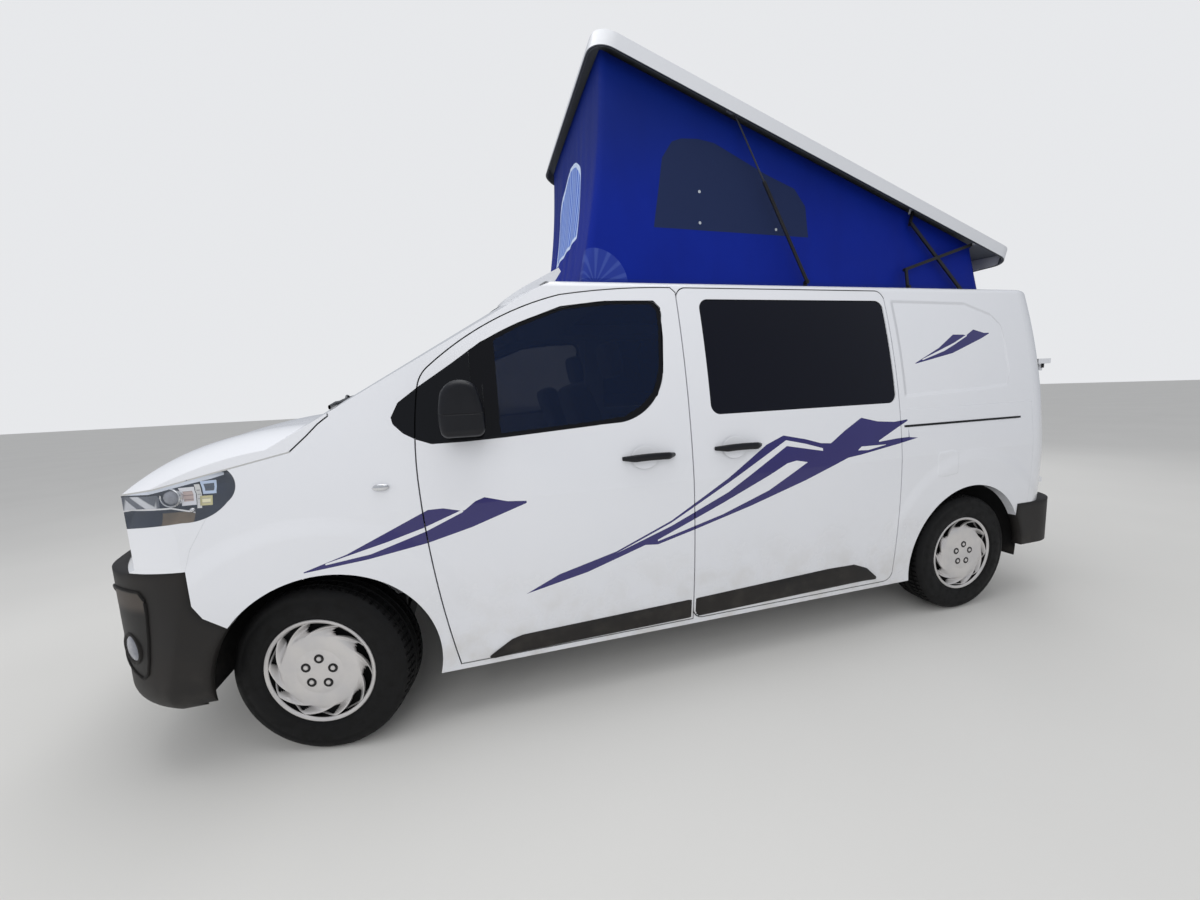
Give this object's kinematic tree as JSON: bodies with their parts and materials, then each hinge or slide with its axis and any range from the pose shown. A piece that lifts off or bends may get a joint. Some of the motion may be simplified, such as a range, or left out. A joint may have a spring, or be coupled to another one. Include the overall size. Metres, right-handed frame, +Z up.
{
  "type": "camper van with lifting roof",
  "caption": "Panel van camper with its lifting roof up: canvas walls, scissor arms, gas struts, opening doors, steered front wheels, a bench and a kitchen unit inside.",
  "frame": {"origin": "on the ground under the middle of the bounding box", "axes": "+X forward, +Y to the van's left, +Z up"},
  "size_m": [4.959, 2.17, 3.0221],
  "materials": {
    "white_paint": "gloss",
    "black_plastic": "fine grain",
    "lamp_clear": "clear lens over bright reflectors",
    "lamp_red": "gloss",
    "tinted_glass": "tinted",
    "privacy_glass": "dark",
    "clear_glass": "clear",
    "tyre_rubber": "matte",
    "silver_cover": "silver",
    "black_steel": "satin",
    "grey_metal": "rough",
    "exhaust_steel": "dull",
    "grey_plastic": "fine grain",
    "seat_fabric": "woven",
    "pale_board": "satin",
    "lid_shell": "satin",
    "blue_canvas": "woven",
    "bright_steel": "polished"
  },
  "bodies": {
    "base": {"body_shell": "white_paint", "arch_liners": "black_plastic", "floor_pan": "white_paint", "lower_bumper": "black_plastic", "upper_bumper": "white_paint", "headlamps": "lamp_clear", "grille": "black_plastic", "rear_bumper": "black_plastic", "tail_lamps": "lamp_red", "slide_door": "white_paint", "side_glass": "privacy_glass", "windscreen": "clear_glass", "rear_axle": "black_steel", "front_subframe": "black_steel", "engine_block": "grey_metal", "fuel_tank": "black_plastic", "exhaust": "exhaust_steel", "dashboard": "grey_plastic", "front_seats": "seat_fabric", "rear_bench": "seat_fabric", "kitchen_unit": "pale_board", "roof_frame": "black_steel", "roof_canvas": "blue_canvas", "roof_deflector": "lid_shell"},
    "bonnet_panel": {"bonnet": "white_paint"},
    "left_front_door": {"front_door_left": "white_paint", "front_door_glass_left": "tinted_glass", "door_mirror_left": "black_plastic"},
    "right_front_door": {"front_door_right": "white_paint", "front_door_glass_right": "tinted_glass", "door_mirror_right": "black_plastic"},
    "left_tail_door": {"tail_door_left": "white_paint", "tail_door_glass_left": "privacy_glass"},
    "right_tail_door": {"tail_door_right": "white_paint", "tail_door_glass_right": "privacy_glass"},
    "steering": {"steering_wheel": "grey_plastic"},
    "left_knuckle": {"knuckle_left": "grey_metal"},
    "right_knuckle": {"knuckle_right": "grey_metal"},
    "front_left_wheel": {"tyre_front_left": "tyre_rubber", "wheel_front_left": "silver_cover"},
    "front_right_wheel": {"tyre_front_right": "tyre_rubber", "wheel_front_right": "silver_cover"},
    "rear_left_wheel": {"tyre_rear_left": "tyre_rubber", "wheel_rear_left": "silver_cover"},
    "rear_right_wheel": {"tyre_rear_right": "tyre_rubber", "wheel_rear_right": "silver_cover"},
    "low_arms": {"scissor_arm_low": "black_steel"},
    "high_arms": {"scissor_arm_high": "black_steel"},
    "lid": {"roof_lid": "lid_shell"},
    "low_links": {"lower_link": "black_steel"},
    "high_links": {"upper_link": "black_steel"},
    "tubes": {"strut_tubes": "black_steel"},
    "rods": {"strut_rods": "bright_steel"}
  },
  "joints": [
    {"name": "roof_lift", "type": "hinge", "parent": "base", "child": "low_arms", "pos_m": [-1.936, 0, 1.881], "axis": [0, 1, 0], "range_deg": [0, 37.93], "deforming": ["roof_canvas"]},
    {"name": "arm_cross", "type": "hinge", "parent": "low_arms", "child": "high_arms", "pos_m": [-1.72801, 0, 2.06718], "axis": [0, 1, 0], "range_deg": [-53.73, 0]},
    {"name": "lid_tilt", "type": "hinge", "parent": "high_arms", "child": "lid", "pos_m": [-1.998, 0, 2.151], "axis": [0, 1, 0], "range_deg": [0, 34.16]},
    {"name": "low_link_pivot", "type": "hinge", "parent": "base", "child": "low_links", "pos_m": [-1.49, 0, 1.89], "axis": [0, 1, 0], "range_deg": [0, 78.34]},
    {"name": "high_link_pivot", "type": "hinge", "parent": "low_arms", "child": "high_links", "pos_m": [-1.526, 0, 2.248], "axis": [0, 1, 0], "range_deg": [-111.85, 0]},
    {"name": "strut_pivot", "type": "hinge", "parent": "base", "child": "tubes", "pos_m": [-0.797, 0, 1.908], "axis": [0, 1, 0], "range_deg": [0, 58.93]},
    {"name": "strut_slide", "type": "slide", "parent": "tubes", "child": "rods", "axis": [0.4818, 0, 0.8763], "range_m": [-0.32796, 0]},
    {"name": "bonnet_hinge", "type": "hinge", "parent": "base", "child": "bonnet_panel", "pos_m": [1.485, 0, 1.352], "axis": [0, -1, 0], "range_deg": [0, 50]},
    {"name": "left_front_door_hinge", "type": "hinge", "parent": "base", "child": "left_front_door", "pos_m": [1.205, 0.956, 0.8], "axis": [0, 0, -1], "range_deg": [0, 70]},
    {"name": "right_front_door_hinge", "type": "hinge", "parent": "base", "child": "right_front_door", "pos_m": [1.205, -0.956, 0.8], "axis": [0, 0, 1], "range_deg": [0, 70]},
    {"name": "left_tail_door_hinge", "type": "hinge", "parent": "base", "child": "left_tail_door", "pos_m": [-2.375, 0.815, 1], "axis": [0, 0, -1], "range_deg": [0, 180]},
    {"name": "right_tail_door_hinge", "type": "hinge", "parent": "base", "child": "right_tail_door", "pos_m": [-2.375, -0.815, 1], "axis": [0, 0, 1], "range_deg": [0, 180]},
    {"name": "steer_left", "type": "hinge", "parent": "base", "child": "left_knuckle", "pos_m": [1.5985, 0.66, 0.338], "axis": [0, 0, 1], "range_deg": [-22, 48]},
    {"name": "steer_right", "type": "hinge", "parent": "base", "child": "right_knuckle", "pos_m": [1.5985, -0.66, 0.338], "axis": [0, 0, 1], "range_deg": [-22.01, 48.01]},
    {"name": "steering_column", "type": "hinge", "parent": "base", "child": "steering", "pos_m": [0.88, -0.43, 1.135], "axis": [-0.8192, 0, 0.5736], "range_deg": [-330.01, 720.01]},
    {"name": "front_left_wheel_spin", "type": "hinge", "parent": "left_knuckle", "child": "front_left_wheel", "pos_m": [1.63337, 0.81103, 0.338], "axis": [0.225, 0.9744, 0], "continuous": true},
    {"name": "front_right_wheel_spin", "type": "hinge", "parent": "right_knuckle", "child": "front_right_wheel", "pos_m": [1.56363, -0.81103, 0.338], "axis": [0.225, 0.9744, 0], "continuous": true},
    {"name": "rear_left_wheel_spin", "type": "hinge", "parent": "base", "child": "rear_left_wheel", "pos_m": [-1.6765, 0.815, 0.338], "axis": [0, 1, 0], "continuous": true},
    {"name": "rear_right_wheel_spin", "type": "hinge", "parent": "base", "child": "rear_right_wheel", "pos_m": [-1.6765, -0.815, 0.338], "axis": [0, 1, 0], "continuous": true}
  ],
  "couplings": [
    {"joint": "arm_cross", "follows": "roof_lift", "ratio": -1.4162},
    {"joint": "lid_tilt", "follows": "roof_lift", "ratio": 0.90018},
    {"joint": "low_link_pivot", "follows": "roof_lift", "ratio": 2.065},
    {"joint": "high_link_pivot", "follows": "roof_lift", "ratio": -2.9483},
    {"joint": "strut_pivot", "follows": "roof_lift", "ratio": 1.5533},
    {"joint": "strut_slide", "follows": "roof_lift", "m_per_rad": -0.49531},
    {"joint": "steer_right", "follows": "steer_left", "ratio": 1},
    {"joint": "steering_column", "follows": "steer_left", "ratio": 15}
  ]
}
